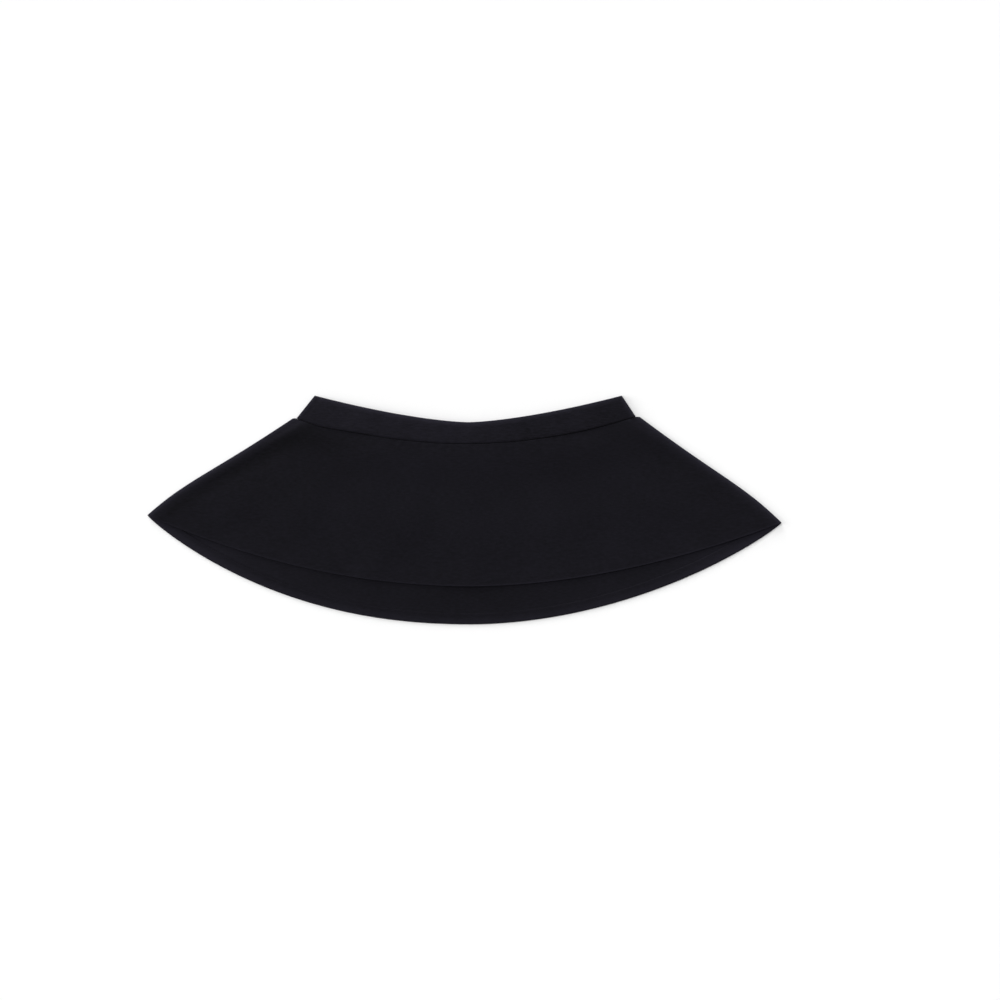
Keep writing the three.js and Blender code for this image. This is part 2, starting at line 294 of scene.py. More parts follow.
# ---- Profiles across an edge ----
ALLOWANCE_SHARES = (0, 0.3, 0.6, 0.85)  # from an allowance's cut edge to the fold
NEAR_EDGE = MM * np.array(  # from a side edge to the first columns past its fold
    (2.2, 3.2, 4.4, 5.6, 6.8, 8, 9.2, 10.5, 12, 13.5, 15, 17, 20, 24, 30)
)


def turned_edge(allowance, turn, steps=7):
    """From an allowance's cut edge to the fold and out, as (distance, share turned in)."""
    centre = JERSEY / 2 + turn / 2
    inside = [(mix(allowance, centre, t), 1.0) for t in ALLOWANCE_SHARES]
    fold = [
        (centre - turn / 2 * math.sin(a), (1 + math.cos(a)) / 2)
        for a in np.linspace(0, math.pi, steps)
    ]
    return inside + fold


def rolled_edge(radius, depth, steps=5):
    """A cut edge that rolls down into a seam, as (distance, metres down)."""
    start = JERSEY / 2 + SEAM_CLEARANCE
    roll = [
        (start + radius * (1 - math.cos(a)), radius * (1 - math.sin(a)))
        for a in np.linspace(0, math.pi / 2, steps)
    ]
    return [(start, depth)] + roll


def both_sides(values, count):
    """One value for each column, the same from either side edge inwards, and 0 between."""
    return np.array(values + [0.0] * count + values[::-1])


def side_turning(cut, allowance, turn, v, count, trim):
    """s for the columns of rows v, and how far each column is turned in.

    trim is 1 in the rows where the allowance is whole.
    """
    profile = turned_edge(allowance, turn)
    reach = np.array([d for d, _ in profile])
    centre = JERSEY / 2 + turn / 2
    width = mix(TRIMMED, allowance, trim)[:, None]
    inner = np.array([h == 1.0 for _, h in profile])
    short = centre + (reach - centre) * (width - centre) / (allowance - centre)
    reach = np.where(inner, np.maximum(short, centre), np.broadcast_to(reach, short.shape))
    near = np.broadcast_to(NEAR_EDGE, (len(v), len(NEAR_EDGE)))
    turned = both_sides([h for _, h in profile] + [0.0] * len(NEAR_EDGE), count)
    return cut.sides(v, np.concatenate([reach, near], 1), count), turned


# ---- Meshes ----
def grid_shell(middle, thickness, closed=False):
    """Points, faces and smooth flags of a closed shell about rows and columns of middle points.

    closed joins its columns in a loop.
    """
    if closed:
        wrapped = np.concatenate([middle[:, -1:], middle, middle[:, :1]], 1)
        across = np.gradient(wrapped, axis=1)[:, 1:-1]
    else:
        across = np.gradient(middle, axis=1)
    normal = np.cross(across, np.gradient(middle, axis=0))
    normal /= np.maximum(np.linalg.norm(normal, axis=-1, keepdims=True), 1e-12)
    rows, columns = middle.shape[:2]
    half = np.broadcast_to(thickness, (rows, 1))[..., None] / 2
    points = np.concatenate([middle + normal * half, middle - normal * half]).reshape(-1, 3)
    place = np.arange(rows * columns).reshape(rows, columns)
    if closed:
        place = np.concatenate([place, place[:, :1]], 1)
    other = place + rows * columns
    sides = [
        quads(place[:-1, :-1], place[:-1, 1:], place[1:, 1:], place[1:, :-1]),
        quads(other[:-1, :-1], other[1:, :-1], other[1:, 1:], other[:-1, 1:]),
    ]
    rims = [
        quads(place[0, :-1], other[0, :-1], other[0, 1:], place[0, 1:]),
        quads(place[-1, 1:], other[-1, 1:], other[-1, :-1], place[-1, :-1]),
    ]
    if not closed:
        rims += [
            quads(place[1:, 0], other[1:, 0], other[:-1, 0], place[:-1, 0]),
            quads(place[:-1, -1], other[:-1, -1], other[1:, -1], place[1:, -1]),
        ]
    faces = np.concatenate(sides + rims)
    smooth = np.arange(len(faces)) < sum(len(side) for side in sides)
    return points, outwards(points, faces), smooth


def tube(path, radius, sides=5):
    """Points, faces and smooth flags of a round thread along a path, with closed ends."""
    along = np.gradient(path, axis=0)
    along /= np.linalg.norm(along, axis=1, keepdims=True)
    first = np.empty_like(path)
    first[0] = np.cross(along[0], (0.3, 0.5, 0.8))  # square to the path, whichever way round
    for i in range(1, len(first)):
        first[i] = first[i - 1] - along[i] * (first[i - 1] @ along[i])
    first /= np.linalg.norm(first, axis=1, keepdims=True)
    second = np.cross(along, first)
    angles = np.linspace(0, 2 * math.pi, sides, endpoint=False)[:, None, None]
    rings = path + radius * (np.cos(angles) * first + np.sin(angles) * second)
    points = np.concatenate([rings.transpose(1, 0, 2).reshape(-1, 3), path[:1], path[-1:]])
    place = np.arange(len(path) * sides).reshape(-1, sides)
    place = np.concatenate([place, place[:, :1]], 1)
    start, stop = (np.full(sides, place.size - len(path) + k) for k in (0, 1))
    faces = np.concatenate([
        quads(place[:-1, :-1], place[1:, :-1], place[1:, 1:], place[:-1, 1:]),
        quads(place[0, :-1], place[0, 1:], start, start),
        quads(place[-1, 1:], place[-1, :-1], stop, stop),
    ])
    return points, outwards(points, faces), np.ones(len(faces), bool)


def quads(a, b, c, d):
    return np.stack([a, b, c, d], -1).reshape(-1, 4)


def outwards(points, faces):
    """The faces, turned over if they face inwards. A triangle repeats its last corner."""
    a, b, c, d = (points[faces[:, k]] for k in range(4))
    volume = np.sum(a * np.cross(b, c)) + np.sum(a * np.cross(c, d))
    return faces if volume > 0 else flipped(faces)


def flipped(faces):
    turned = faces[:, ::-1].copy()
    three = faces[:, 2] == faces[:, 3]
    turned[three] = faces[three][:, [1, 0, 2, 3]]
    return turned


def make_piece(name, node, parts):
    """One mesh object that replaces a CAD node.

    Each of its closed parts is (finish, (points, faces, smooth)).
    """
    finishes = list(dict.fromkeys(finish for finish, _ in parts))
    points, faces, smooth, slots = [], [], [], []
    start = 0
    for finish, (part_points, part_faces, part_smooth) in parts:
        for face in (part_faces + start).tolist():
            faces.append(face if face[2] != face[3] else face[:3])
        points.append(part_points)
        smooth.append(part_smooth)
        slots.append(np.full(len(part_faces), finishes.index(finish)))
        start += len(part_points)
    mesh = bpy.data.meshes.new(name)
    mesh.from_pydata(np.concatenate(points).tolist(), [], faces)
    mesh.polygons.foreach_set("use_smooth", np.concatenate(smooth))
    for finish in finishes:
        mesh.materials.append(finish)
    mesh.polygons.foreach_set("material_index", np.concatenate(slots))
    mesh.update()
    piece = bpy.data.objects.new(name, mesh)
    bpy.context.collection.objects.link(piece)
    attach(piece, BODY)
    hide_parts(node)
    return piece


def cloth_piece(node, slot, finish, middle, painted_shading=None, thickness=JERSEY):
    """A piece of jersey about a middle surface.

    Its painted light and shade gives how much paler the cloth is at each point, as a share of its
    level.
    """
    piece = make_piece(node + "_cloth", node, [(finish, grid_shell(middle, thickness))])
    if painted_shading is not None:
        # stores the painted light and shade on each point
        light_and_shade = piece.data.attributes.new("painted_shading", "FLOAT", "POINT")
        light_and_shade.data.foreach_set("value", np.tile(painted_shading.ravel(), 2).astype(np.float32))
    return piece


# ---- Finishes ----
class Wire:
    """A value in a material. Sums and products of wires add the Math nodes that they need."""

    def __init__(self, finish, socket):
        self.finish = finish
        self.socket = socket

    def math(self, operation, first, second=0.0):
        return self.finish.node("Math", {"operation": operation}, **{"0": first, "1": second})

    def __add__(self, other):
        return self.math("ADD", self, other)

    __radd__ = __add__

    def __sub__(self, other):
        return self.math("SUBTRACT", self, other)

    def __rsub__(self, other):
        return self.math("SUBTRACT", other, self)

    def __mul__(self, other):
        return self.math("MULTIPLY", self, other)

    __rmul__ = __mul__

    def __truediv__(self, other):
        return self.math("DIVIDE", self, other)

    def __rtruediv__(self, other):
        return self.math("DIVIDE", other, self)

    def sine(self):
        return self.math("SINE", self)

    def clamped(self):
        return self.math("MINIMUM", self.math("MAXIMUM", self, 0.0), 1.0)


class Finish:
    """A material in the making."""

    def __init__(self, name):
        self.material = bpy.data.materials.new(name)
        self.material.use_nodes = True
        self.tree = self.material.node_tree
        self.tree.nodes.clear()

    def node(self, kind, settings=None, output=0, **values):
        """Adds a node: its settings, then its sockets' values or wires, by name or number."""
        made = self.tree.nodes.new("ShaderNode" + kind)
        for key, value in (settings or {}).items():
            setattr(made, key, value)
        for key, value in values.items():
            socket = made.inputs[int(key) if key.isdigit() else key.replace("_", " ")]
            if isinstance(value, Wire):
                self.tree.links.new(value.socket, socket)
            else:
                socket.default_value = value
        return Wire(self, made.outputs[output])

    def blend(self, share, first, second):
        """Mixes two colours."""
        return self.node("Mix", {"data_type": "RGBA"}, 2, **{"0": share, "6": first, "7": second})

    def place(self):
        return self.node("TexCoord", output=3)

    def axis(self, number):
        return self.node("SeparateXYZ", output=number, Vector=self.place())

    def noise(self, scale, detail=2.0, stretch=(1, 1, 1)):
        place = self.node("Mapping", Vector=self.place(), Scale=stretch)
        return self.node("TexNoise", Vector=place, Scale=scale, Detail=detail, Roughness=0.55)

    def close(self, **values):
        """Ends in a Principled shader."""
        shader = self.node("BsdfPrincipled", **values)
        end = self.tree.nodes.new("ShaderNodeOutputMaterial")
        self.tree.links.new(shader.socket, end.inputs[0])
        return self.material


DYE_TINT = (0.985, 0.91, 1.38)
PALEST = 3.0  # the palest the cloth gets, with its texture and its painted light and shade, as a share of its own level
KNIT_ROW = 0.8  # height of a row of the knit, as a share of its ribs' width
SLUBS = (170, 850, 170)  # scale of the slubs in X, Y and Z
CLOUDS = 16.0  # scale of the broad patches
FUZZ = 1500.0  # scale of the finest grain
TWIST = 9000  # the twist of a thread, in radians to the metre along X and along Y
WEAVE = 1.1 * MM  # one repeat of the elastic
SATIN = (300, 4000, 300)  # scale of the ribbon's floats in X, Y and Z
SATIN_SHADES = (0.62, 0.60, 0.56, 1), (0.74, 0.72, 0.68, 1)
FLOOR_SHADES = (0.89, 0.89, 0.89, 1), (0.91, 0.91, 0.91, 1)


def dye(level):
    return (*(level * part for part in DYE_TINT), 1.0)


def jersey(name, level, rib):
    """Double-knit jersey: fine upright ribs crossed by rows, with slubs, an uneven tone, and
    painted light and shade from a point attribute.
    """
    finish = Finish(name)
    ribs = (finish.axis(0) * (2 * math.pi / rib)).sine()
    rows = (finish.axis(1) * (2 * math.pi / (rib * KNIT_ROW))).sine()
    knit = ribs * 0.3 + rows * 0.2 + 0.5
    slubs = finish.noise(1.0, detail=3.0, stretch=SLUBS)
    clouds = finish.noise(CLOUDS)
    fuzz = finish.noise(FUZZ, detail=1.0)
    # painted light and shade, read from a point attribute of the cloth
    painted_shading = finish.node("Attribute", {"attribute_name": "painted_shading"}, 2)
    texture = (slubs - 0.5) * 1.5 + (clouds - 0.5) * 0.4 + (fuzz - 0.5) * 0.8 + (knit - 0.5) * 0.3
    share = (painted_shading + texture + 1) / PALEST
    height = knit * 0.5 + slubs * 0.6 + fuzz * 0.4
    return finish.close(
        Base_Color=finish.blend(share.clamped(), dye(0), dye(level * PALEST)),
        Roughness=0.88 + (slubs - 0.5) * 0.12,
        Normal=finish.node("Bump", Strength=0.3, Distance=0.06 * MM, Height=height),
        **{"Specular IOR Level": 0.08, "Sheen Weight": 0.012, "Sheen Roughness": 0.5},
    )


def thread_finish():
    finish = Finish("spun_thread")
    twist = (finish.axis(0) * TWIST + finish.axis(1) * TWIST).sine()
    return finish.close(
        Base_Color=finish.blend((twist * 0.3 + 0.5).clamped(), dye(0.0040), dye(0.0075)),
        Roughness=0.8 + twist * 0.05,
        **{"Specular IOR Level": 0.1},
    )


def elastic_finish():
    finish = Finish("woven_elastic")
    weave = (finish.axis(0) * (2 * math.pi / WEAVE)).sine()
    return finish.close(
        Base_Color=finish.blend((weave * 0.35 + 0.5).clamped(), dye(0.008), dye(0.020)),
        Roughness=0.75 + weave * 0.08,
        Normal=finish.node("Bump", Strength=0.4, Distance=0.1 * MM, Height=weave),
        **{"Specular IOR Level": 0.2},
    )


def satin_finish():
    finish = Finish("satin_ribbon")
    floats = finish.noise(1.0, stretch=SATIN)
    return finish.close(
        Base_Color=finish.blend(floats, *SATIN_SHADES),
        Roughness=0.34 + floats * 0.12,
        Normal=finish.node("Bump", Strength=0.2, Distance=0.03 * MM, Height=floats),
        **{"Specular IOR Level": 0.5, "Sheen Weight": 0.1},
    )


panel_jersey = jersey("panel_knit", level=0.0057, rib=0.80 * MM)
band_jersey = jersey("band_knit", level=0.0084, rib=0.70 * MM)
thread = thread_finish()
elastic = elastic_finish()
label_satin = satin_finish()

# ---- How the fabric lies: levels of middle surfaces ----
front_cut = Cut(
    lambda s: seam_line(s, seam_half + SHOULDER),
    lambda s: hem_line(s, front_low.y, FRONT_ROUND),
    SIDE_SWELL,
)
back_cut = Cut(
    lambda s: seam_line(s, seam_half + SHOULDER),
    lambda s: hem_line(s, back_low.y, BACK_ROUND),
    SIDE_SWELL,
)
band_cut = Cut(waist_line, lambda s: seam_line(s, seam_half))

# Each profile has distances from a side edge, then levels there. All of them are in mm.
EDGE = PANEL_EDGE / MM
AT_WAIST = (4.5, 9, 14, 30, 75), (EDGE, WAIST_EDGE / MM, 5.5, 6.3, 8.2)
IN_BODY = (0.9, 5, 8, 14, 20, 34, 85), (EDGE, EDGE + 0.45, EDGE + 0.3, 2.75, 2.9, 4.0, 5.2)
AT_HEM = (0.9, 5, 9, 48, 88), (EDGE, EDGE + 0.15, EDGE, EDGE - 0.12, 2.15)
ACROSS_BAND = (5, 12, 40, 75), (BAND_EDGE / MM, 5.6, 7.4, 8.9)
BELOW_SEAM = (9, 60)  # mm, where the front comes down from the waist to the body
ABOVE_HEM = (13, 80)  # mm, where it comes down from the body to the hem
FREE_FROM_SIDE = (20, 90)  # mm, where it comes free of its side seams
HEM_LIFTS = (0.02, 0.065, 1.3), (-0.30, 0.05, 1.0), (0.36, 0.10, 0.35)  # along s, heights in mm
LIFT_REACH = 38  # mm up from the hem
FLUTES = (19, 0.7, 0.28), (31, 2.1, 0.2)  # waves along s, heights in mm
FLUTES_AT_SEAM = 0.4  # share of their height that they have there
FLUTES_FROM_SEAM = (5, 50)  # mm
FLUTES_FROM_HEM = (6, 60)  # mm
PUCKERS = (83, 1.0, 0.10), (131, 0, 0.08)  # waves along s, heights in mm
PUCKERS_AT = (5, 6)  # mm below the seam, centre and width
BAND_WAVES = (27, 0, 0.08), (61, 0.4, 0.05)
BAND_FROM_SIDE = (5, 30)  # mm, where the band is free of its side seams
TOP_FALL, TOP_FALL_OVER = 0.55, (0.5, 6)  # mm that the band falls to its top edge, and where
SEAM_FALL, SEAM_FALL_OVER = 0.25, (0, 4)  # the same to the waist seam
CREASE_DEPTH = 0.25  # mm
CREASE_AT, CREASE_WIDTH = 0.75, 0.035  # in s
CREASE_DOWN, CREASE_SLANT = 12, 90  # mm below the top edge, and mm down for each unit of s


def front_level(s, v):
    side, seam, hem = (distance / MM for distance in front_cut.distances(s, v))
    waist, body, lying = (through(side, *profile) for profile in (AT_WAIST, IN_BODY, AT_HEM))
    level = mix(waist, body, ease(seam, *BELOW_SEAM))
    level = mix(lying, level, ease(hem, *ABOVE_HEM))
    level = level + bumps(s, HEM_LIFTS) * bump(hem, 0, LIFT_REACH)
    free = ease(side, *FREE_FROM_SIDE)
    share = mix(FLUTES_AT_SEAM, 1, v) * ease(seam, *FLUTES_FROM_SEAM) * ease(hem, *FLUTES_FROM_HEM)
    level = level + waves(s, FLUTES) * free * share
    return (level + waves(s, PUCKERS) * bump(seam, *PUCKERS_AT) * free) * MM


def back_level(s, v):
    return np.full(np.broadcast(s, v).shape, BACK_LEVEL)


def band_level(s, v):
    side, top, seam = (distance / MM for distance in band_cut.distances(s, v))
    level = through(side, *ACROSS_BAND)
    top_fall = TOP_FALL * (1 - ease(top, *TOP_FALL_OVER))
    seam_fall = SEAM_FALL * (1 - ease(seam, *SEAM_FALL_OVER))
    crease = CREASE_DEPTH * bump(s - CREASE_AT, (top - CREASE_DOWN) / CREASE_SLANT, CREASE_WIDTH)
    relief = waves(s, BAND_WAVES) - top_fall - seam_fall - crease
    return (level + relief * ease(side, *BAND_FROM_SIDE)) * MM


# ---- Painted light and shade: how much paler than the cloth's own level, as a share ----
# painted highlight over a side fold and a little painted shade inside it, as bumps at distances
# from the side edge
SIDE_SHADING = (0, 3, 1.7), (0, 8, 0.55), (26, 10, -0.05)  # bumps at distances in mm
HOLLOW_AT, HOLLOW_WIDTH = 15 * MM, 6 * MM  # the hollow inside a side fold of the front
HOLLOW_SHADE_LEFT, HOLLOW_SHADE_RIGHT = 0.24, 0.08  # how much darker the painted shade in that hollow is, left and right
FRONT_SHADING_PATCHES = (  # centre and reach in X and Y in mm, and how much paler; the darker ones are painted shade of shallow folds and of the hollows by the side folds
    (-185, 85, 60, 14, -0.34), (-235, 42, 85, 42, -0.15), (239, 62, 26, 16, -0.07),
    (300, 24, 24, 14, -0.07), (200, -40, 150, 40, 0.09), (-30, 58, 60, 26, 0.09),
)
FRONT_HEM_HIGHLIGHT = 1.4 * MM  # width of the painted highlight along the front's hem fold
FRONT_HEM_HIGHLIGHT_LEFT, FRONT_HEM_HIGHLIGHT_RIGHT = 0.75, 1.3
FRONT_HEM_HIGHLIGHT_CHANGES = (-0.3, 0.3)  # in s
BACK_HEM_LIGHT = (0, 6, 0.45), (0, 16, 0.25)  # painted light towards the back's hem edge, as bumps at distances in mm
BACK_TIP, BACK_TIP_OVER = 0.3, (0.62, 0.86)  # towards the tips, and where in s
BACK_MIDDLE_SHADE, BACK_MIDDLE_SHADE_WIDTH = 0.12, 0.35  # how much darker the painted shade below the middle of the front's hem is, and how wide in s
# painted highlights along the band's side edges and top edge, and their width
BAND_SIDE_HIGHLIGHT, BAND_TOP_HIGHLIGHT, BAND_HIGHLIGHT_WIDTH = 1.1, 0.85, 3.5 * MM
BAND_TOP_LIGHT, BAND_DOWN_SHADE = 0.05, 0.14  # painted light at the top edge, and how much darker the painted shade is at the seam
BAND_END_SHADE, BAND_END_SHADE_OVER = 0.2, (20 * MM, 130 * MM)  # how much darker the painted shade is to either side, and where
# where the band's painted light is strongest, in X
BAND_PALEST_X = -50 * MM


def paint_side_shading(side):
    """Painted highlight over a side fold, and a little painted shade inside it."""
    return bumps(side / MM, SIDE_SHADING)


def paint_front_shading(s, v):
    side, _, hem = front_cut.distances(s, v)
    x, y = np.moveaxis(front_cut.at(s, v), -1, 0) / MM
    # painted shade in the hollow inside each side fold
    hollow_shade = np.where(s < 0, HOLLOW_SHADE_LEFT, HOLLOW_SHADE_RIGHT) * bump(side, HOLLOW_AT, HOLLOW_WIDTH)
    light_and_shade = paint_side_shading(side) - hollow_shade
    # painted shade of shallow folds, and some paler patches
    for centre_x, centre_y, reach_x, reach_y, paler in FRONT_SHADING_PATCHES:
        light_and_shade = light_and_shade + paler * bump(x, centre_x, reach_x) * bump(y, centre_y, reach_y)
    # painted highlight along the front's hem fold, stronger to the right
    hem_highlight = mix(FRONT_HEM_HIGHLIGHT_LEFT, FRONT_HEM_HIGHLIGHT_RIGHT, ease(s, *FRONT_HEM_HIGHLIGHT_CHANGES))
    return light_and_shade + hem_highlight * bump(hem, 0, FRONT_HEM_HIGHLIGHT)


def paint_back_shading(s, v):
    side, _, hem = back_cut.distances(s, v)
    tips = BACK_TIP * ease(np.abs(s), *BACK_TIP_OVER)
    # painted light towards the back's hem edge
    edge = bumps(hem / MM, BACK_HEM_LIGHT)
    # with painted shade below the middle of the front's hem
    return paint_side_shading(side) + edge + tips - BACK_MIDDLE_SHADE * bump(s, 0, BACK_MIDDLE_SHADE_WIDTH)


def paint_band_shading(s, v):
    side, top, _ = band_cut.distances(s, v)
    # painted highlights on the band's rounded side and top edges
    side_highlight = BAND_SIDE_HIGHLIGHT * bump(side, 0, BAND_HIGHLIGHT_WIDTH)
    top_highlight = BAND_TOP_HIGHLIGHT * bump(top, 0, BAND_HIGHLIGHT_WIDTH)
    # painted shade grows with the distance from the band's most lit place
    away = np.abs(band_cut.at(s, v)[..., 0] - BAND_PALEST_X)
    # painted light at the top edge, going over to painted shade towards the seam
    depth = BAND_TOP_LIGHT - BAND_DOWN_SHADE * np.clip(v, 0, 1)
    return np.maximum(side_highlight, top_highlight) - BAND_END_SHADE * ease(away, *BAND_END_SHADE_OVER) + depth


# ---- Panels ----
PANEL_COLUMNS = 230
PANEL_ROWS = 46
PANEL_FROM, PANEL_TO = 19 * MM, 22 * MM  # from the seam and the hem, between them even rows
TOP_ROWS = (2, 3.2, 4.6, 6.2, 8, 10, 12.5, 15.5)  # mm from the seam
HEM_ROWS = (18, 15, 12, 9.5, 7, 4.8, 3, 1.8)  # mm from the hem
HEM_INSIDE = (2.4, 4.5, 6.5, 8.5, 10.5, 12, 13)  # the same, on the turned allowance
HEM_PRESSED = (0.6, 0.5, 0.45, 0.4)  # mm, its last rows' thickness, flattened by the overlocking
WHOLE_FROM_SEAM = (9 * MM, 15 * MM)  # where a panel's side allowances come to their full width
WHOLE_FROM_HEM = (14 * MM, 22 * MM)
WHOLE = 0.99  # share of the full width that counts as whole


def panel_rows(cut, s):
    """v, metres down and share turned in, for each row from the seam to the hem's cut edge."""
    seam, hem = cut.end_scale(s, 0.0), cut.end_scale(s, 1.0)
    fold = turned_edge(HEM_ALLOWANCE, HEM_TURN)[len(ALLOWANCE_SHARES):][::-1]
    rows = [(d / seam, down, 0.0) for d, down in rolled_edge(*PANEL_ROLL)]
    rows += [(d * MM / seam, 0.0, 0.0) for d in TOP_ROWS]
    start, stop = PANEL_FROM / seam, 1 - PANEL_TO / hem
    rows += [(mix(start, stop, t), 0.0, 0.0) for t in np.linspace(0, 1, PANEL_ROWS)]
    rows += [(1 - d * MM / hem, 0.0, 0.0) for d in HEM_ROWS]
    rows += [(1 - d / hem, 0.0, turned) for d, turned in fold]
    rows += [(1 - d * MM / hem, 0.0, 1.0) for d in HEM_INSIDE]
    v, down, turned = zip(*rows)
    return np.array(v), np.array(down)[:, None], np.array(turned)[:, None]


def panel_middle(cut, level, hand, light_and_shade):
    """Middle surface of a panel, its painted light and shade, and the rows with whole side
    allowances.

    hand is 1 for the front, whose turnings lie below it, and -1 for the back.
    """
    count = len(turned_edge(SIDE_ALLOWANCE, TURN)) + len(NEAR_EDGE)
    columns = 2 * count + PANEL_COLUMNS
    nominal = cut.sides(np.full((1, 2), 0.5), np.zeros((1, 1)), columns - 2)[0]
    v, down, hem_turned = panel_rows(cut, nominal)
    edge_v = v[:, :1]
    trim = ease(edge_v * cut.end_scale(-1.0, 0.0), *WHOLE_FROM_SEAM)
    trim = trim * ease((1 - edge_v) * cut.end_scale(-1.0, 1.0), *WHOLE_FROM_HEM)
    s, side_turned = side_turning(cut, SIDE_ALLOWANCE, TURN, v, PANEL_COLUMNS, trim[:, 0])
    v = panel_rows(cut, s[len(s) // 2])[0]
    inside = np.maximum(np.maximum(side_turned * TURN, hem_turned * HEM_TURN), down)
    z = level(s, v) - hand * inside
    return np.concatenate([cut.at(s, v), z[..., None]], -1), light_and_shade(s, v), trim[:, 0] > WHOLE


front_middle, front_painted_shading, front_whole = panel_middle(front_cut, front_level, 1, paint_front_shading)
back_middle, back_painted_shading, back_whole = panel_middle(back_cut, back_level, -1, paint_back_shading)
panel_thickness = np.full((len(front_middle), 1), JERSEY)
panel_thickness[-len(HEM_PRESSED):, 0] = np.array(HEM_PRESSED) * MM
front = cloth_piece(
    "front_panel", "panel_jersey", panel_jersey, front_middle, front_painted_shading, panel_thickness,
)
back = cloth_piece(
    "back_panel", "panel_jersey", panel_jersey, back_middle, back_painted_shading, panel_thickness,
)

# ---- Waistband ----
BAND_COLUMNS = 180
BAND_ROWS = 18
BAND_FROM, BAND_TO = 2.4 * MM, 3 * MM  # from the top edge and the seam, between them even rows
BAND_FOLD_STEPS = 9
FACING_ROWS = 18
LOOP_TURN_STEPS = 10
LIP_WHOLE_FROM = (0.04, 0.065)  # from a side edge in s, where the lip comes to its full depth
LIP_TRIMMED = TRIMMED + 0.1 * MM  # what it is cut back to near the side seams
WHOLE_FROM_TOP = (11 * MM, 14 * MM)  # where the band's side allowances come to their full width
WHOLE_FROM_WAIST = (3 * MM, 5 * MM)


def band_rows(s):
    """v, share turned in and metres down, for each row from the lip's cut edge to the seam."""
    top, low = band_cut.end_scale(s, 0.0), band_cut.end_scale(s, 1.0)
    centre = JERSEY / 2 + BAND_TURN / 2
    share = mix((LIP_TRIMMED - centre) / (LIP - centre), 1, ease(1 - np.abs(s), *LIP_WHOLE_FROM))
    rows = []
    for d, turned in turned_edge(LIP, BAND_TURN, BAND_FOLD_STEPS):
        reach = centre + (d - centre) * share if turned == 1.0 and d > centre else d
        rows.append((reach / top, turned, 0.0))
    start, stop = BAND_FROM / top, 1 - BAND_TO / low
    rows += [(mix(start, stop, t), 0.0, 0.0) for t in np.linspace(0, 1, BAND_ROWS)]
    rows += [(1 - d / low, 0.0, down) for d, down in rolled_edge(*BAND_ROLL)[::-1]]
    v, turned, down = zip(*rows)
    return np.array(v), np.array(turned)[:, None], np.array(down)[:, None]


def band_middle(level, hand):
    """Middle surface of a band outer, from its lip to the waist seam, and its painted light and
    shade.
    """
    count = len(turned_edge(BAND_ALLOWANCE, BAND_TURN)) + len(NEAR_EDGE)
    v, top_turned, down = band_rows(np.linspace(-1, 1, 2 * count + BAND_COLUMNS))
    from_top = v[:, 0] * band_cut.end_scale(-1.0, 0.0)
    from_seam = (1 - v[:, 0]) * band_cut.end_scale(-1.0, 1.0)
    trim = ease(from_top, *WHOLE_FROM_TOP) * ease(from_seam, *WHOLE_FROM_WAIST)
    s, side_turned = side_turning(band_cut, BAND_ALLOWANCE, BAND_TURN, v, BAND_COLUMNS, trim)
    v = band_rows(s[len(s) // 2])[0]
    inside = np.maximum(np.maximum(side_turned, top_turned) * BAND_TURN, down)
    z = level(s, v) - hand * inside
    return np.concatenate([band_cut.at(s, v), z[..., None]], -1), paint_band_shading(s, v)


def facing_middle(level, hand):
    """Middle surface of a facing, from below the lip, round the elastic and in to the outer."""
    nominal = np.linspace(-1, 1, BAND_COLUMNS)
    top, low = band_cut.end_scale(nominal, 0.0), band_cut.end_scale(nominal, 1.0)
    shares = np.linspace(0, 1, FACING_ROWS)[:, None]
    v = mix(FACING_DOWN / top, 1 - FACING_UP / low, shares)
    s = band_cut.sides(v, np.full((FACING_ROWS, 1), FACING_INSET), BAND_COLUMNS - 2)
    z = level(s, v) - hand * mix(BAND_TURN, FACING_CLOSE, ease(shares, *FACING_CLOSES))
    return np.concatenate([band_cut.at(s, v), z[..., None]], -1)


def loop_middle(cuts, v_front, v_back, turn_at, top, under, columns):
    """Middle surface of a loop: along the front, round inside a side edge and back behind.

    top and under give its levels from s and v, and v_front and v_back give v for each row from s.
    """
    runs = []
    for cut, rows, level in zip(cuts, (v_front, v_back), (top, under)):
        v = rows(np.linspace(-1, 1, columns))
        s = cut.sides(v, np.full((len(v), 1), turn_at), columns - 2)
        runs.append(np.concatenate([cut.at(s, v), level(s, v)[..., None]], -1))
    ahead, behind = runs[0], runs[1][:, ::-1]

    def turn(first, last, outward):
        centre = (first + last) / 2
        radius = (first[:, 2:] - last[:, 2:]) / 2
        outward = outward * (1, 1, 0)
        outward /= np.linalg.norm(outward, axis=1, keepdims=True)
        out, rise = outward * np.abs(radius), radius * (0, 0, 1)
        angles = np.linspace(0, math.pi, LOOP_TURN_STEPS)[1:-1]
        return np.stack([centre + out * math.sin(a) + rise * math.cos(a) for a in angles], 1)

    right = turn(ahead[:, -1], behind[:, 0], ahead[:, -1] - ahead[:, -2])
    left = turn(behind[:, -1], ahead[:, 0], ahead[:, 0] - ahead[:, 1])
    return np.concatenate([ahead, right, behind, left], 1)


def band_piece(node, *middle):
    return cloth_piece(node, "band_jersey", band_jersey, *middle)


band_front = band_piece("waistband_front", *band_middle(band_level, 1))
band_back = band_piece("waistband_back", *band_middle(back_level, -1))
facing_front = band_piece("waistband_facing_front", facing_middle(band_level, 1))
facing_back = band_piece("waistband_facing_back", facing_middle(back_level, -1))


def elastic_rows(s):
    down = np.linspace(ELASTIC_DOWN, ELASTIC_DOWN + ELASTIC_WIDTH, ELASTIC_ROWS)[:, None]
    return down / band_cut.end_scale(s, 0.0)


